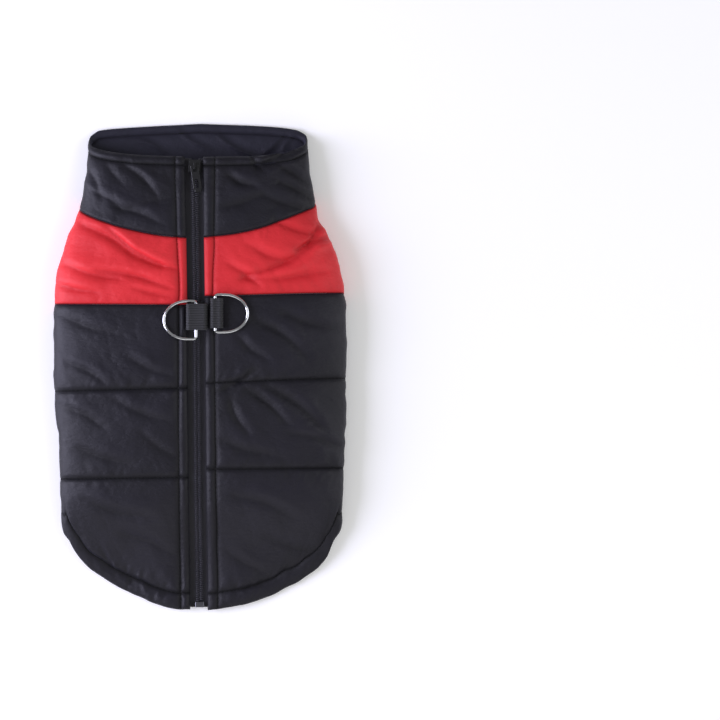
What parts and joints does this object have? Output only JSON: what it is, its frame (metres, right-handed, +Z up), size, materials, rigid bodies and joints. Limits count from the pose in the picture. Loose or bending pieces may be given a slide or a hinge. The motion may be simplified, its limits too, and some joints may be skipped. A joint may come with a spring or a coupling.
{
  "type": "dog winter jacket",
  "caption": "Padded sleeveless jacket for a small dog, laid flat, with a stand collar, contrast yoke, back zip, leash rings and quilted panels.",
  "frame": {"origin": "centre of the footprint, on the surface that the belly side rests on", "axes": "+X across the jacket to the picture's right, +Y along the back towards the collar, +Z up, out of the zip side"},
  "size_m": [0.2212, 0.367, 0.0388],
  "materials": {
    "black_shell": "quilted black polyester, soft sheen",
    "red_shell": "quilted red polyester, soft sheen",
    "zip_tape_black": "matt woven tape",
    "zip_teeth_black": "satin black coil",
    "slider_black": "black enamel",
    "ring_chrome": "bright plated steel",
    "webbing_black": "ribbed webbing"
  },
  "bodies": {
    "jacket": {"back_panel_left": "black_shell", "back_panel_right": "black_shell", "yoke_left": "red_shell", "yoke_right": "red_shell", "belly_panel": "black_shell", "collar": "black_shell", "zip_guard": "black_shell", "zip_tape_left": "zip_tape_black", "zip_tape_right": "zip_tape_black", "zip_chain": "zip_teeth_black", "zip_box": "ring_chrome", "zip_slider": "slider_black", "webbing_left": "webbing_black", "webbing_right": "webbing_black"},
    "ring_left": {"d_ring_left": "ring_chrome"},
    "ring_right": {"d_ring_right": "ring_chrome"},
    "pull_tab": {"zip_pull_tab": "slider_black"}
  },
  "joints": [
    {"name": "ring_left_swing", "type": "hinge", "parent": "jacket", "child": "ring_left", "pos_m": [-0.0019, 0.03505, 0.03615], "axis": [0, 1, 0], "range_deg": [0, 100]},
    {"name": "ring_right_swing", "type": "hinge", "parent": "jacket", "child": "ring_right", "pos_m": [0.0124, 0.04, 0.03615], "axis": [0, -1, 0], "range_deg": [0, 100]},
    {"name": "pull_tab_swing", "type": "hinge", "parent": "jacket", "child": "pull_tab", "pos_m": [-0.00353, 0.15031, 0.02651], "axis": [-0.9903, -0.138, 0.0181], "range_deg": [0, 165]}
  ]
}
